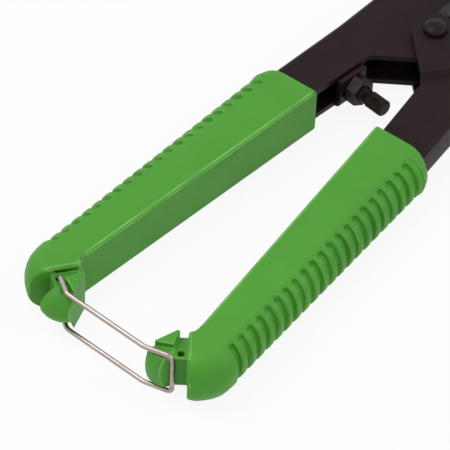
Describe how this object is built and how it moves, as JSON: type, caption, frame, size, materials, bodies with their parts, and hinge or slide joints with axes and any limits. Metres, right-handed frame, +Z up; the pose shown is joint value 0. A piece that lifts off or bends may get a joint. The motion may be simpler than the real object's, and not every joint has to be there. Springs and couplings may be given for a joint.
{
  "type": "anvil pruner",
  "caption": "Compound-action hand pruner with ribbed moulded grips on channel levers, a blade jaw closing on an anvil jaw, a stop screw and a wire latch.",
  "frame": {"origin": "on the centre rivet's axis, on the flat the tool lies on", "axes": "+X from the grips to the jaws, +Y to the anvil side, +Z up along the rivet"},
  "size_m": [0.2217, 0.0722, 0.0184],
  "materials": {
    "satin_black_paint": "satin black paint on pressed sheet",
    "green_plastic": "moulded green plastic",
    "blackened_steel": "blackened rivet steel",
    "spring_steel": "spring wire",
    "bright_wire": "bright drawn wire",
    "screw_steel": "plated screw steel",
    "jaw_steel": "forged tool steel",
    "blade_steel": "ground tool steel",
    "soft_metal": "soft metal strip",
    "strap_steel": "blackened plate"
  },
  "bodies": {
    "anvil_side": {"anvil_lever": "satin_black_paint", "anvil_side_grip": "green_plastic", "pivot_rivet": "blackened_steel", "anvil_jaw_pin": "blackened_steel", "opening_spring": "spring_steel"},
    "blade_side": {"blade_lever": "satin_black_paint", "blade_side_grip": "green_plastic", "blade_jaw_pin": "blackened_steel", "blade_jaw_spacer_upper": "screw_steel", "blade_jaw_spacer_lower": "screw_steel"},
    "anvil_head": {"anvil_jaw": "jaw_steel", "anvil": "soft_metal", "anvil_pin_rear": "screw_steel", "anvil_pin_front": "screw_steel"},
    "blade_head": {"blade_jaw": "blade_steel"},
    "straps": {"upper_strap": "strap_steel", "lower_strap": "strap_steel", "anvil_strap_bolt": "screw_steel", "blade_strap_bolt": "screw_steel", "anvil_strap_nut": "screw_steel", "blade_strap_nut": "screw_steel"},
    "latch": {"latch_bail": "bright_wire"},
    "stop": {"stop_screw": "screw_steel"},
    "nut": {"lock_nut": "screw_steel"}
  },
  "joints": [
    {"name": "handle_pivot", "type": "hinge", "parent": "anvil_side", "child": "blade_side", "pos_m": [0, 0, 0.0081], "axis": [0, 0, 1], "range_deg": [0, 20]},
    {"name": "anvil_jaw_turn", "type": "hinge", "parent": "anvil_side", "child": "anvil_head", "pos_m": [0.018, 0.013, 0.0081], "axis": [0, 0, 1], "range_deg": [0, 23.1]},
    {"name": "strap_turn", "type": "hinge", "parent": "anvil_head", "child": "straps", "pos_m": [0.032, 0.0065, 0.0081], "axis": [0, 0, 1], "range_deg": [-13.1, 0]},
    {"name": "blade_jaw_turn", "type": "hinge", "parent": "blade_side", "child": "blade_head", "pos_m": [0.018, -0.013, 0.0081], "axis": [0, 0, 1], "range_deg": [-23.1, 0]},
    {"name": "bail_swing", "type": "hinge", "parent": "anvil_side", "child": "latch", "pos_m": [-0.1494, 0.022, 0.0081], "axis": [0, 0, 1], "range_deg": [-100.1, 0]},
    {"name": "stop_screw_travel", "type": "slide", "parent": "anvil_side", "child": "stop", "axis": [-0.1289, -0.9917, 0], "range_m": [-0.001, 0.003]},
    {"name": "lock_nut_turn", "type": "hinge", "parent": "anvil_side", "child": "nut", "pos_m": [-0.02907, 0.00859, 0.0081], "axis": [-0.1289, -0.9917, 0], "continuous": true}
  ],
  "couplings": [
    {"joint": "anvil_jaw_turn", "follows": "handle_pivot", "ratio": 1.1491},
    {"joint": "strap_turn", "follows": "handle_pivot", "ratio": -0.6491},
    {"joint": "blade_jaw_turn", "follows": "handle_pivot", "ratio": -1.1491},
    {"joint": "bail_swing", "follows": "handle_pivot", "ratio": -5}
  ]
}
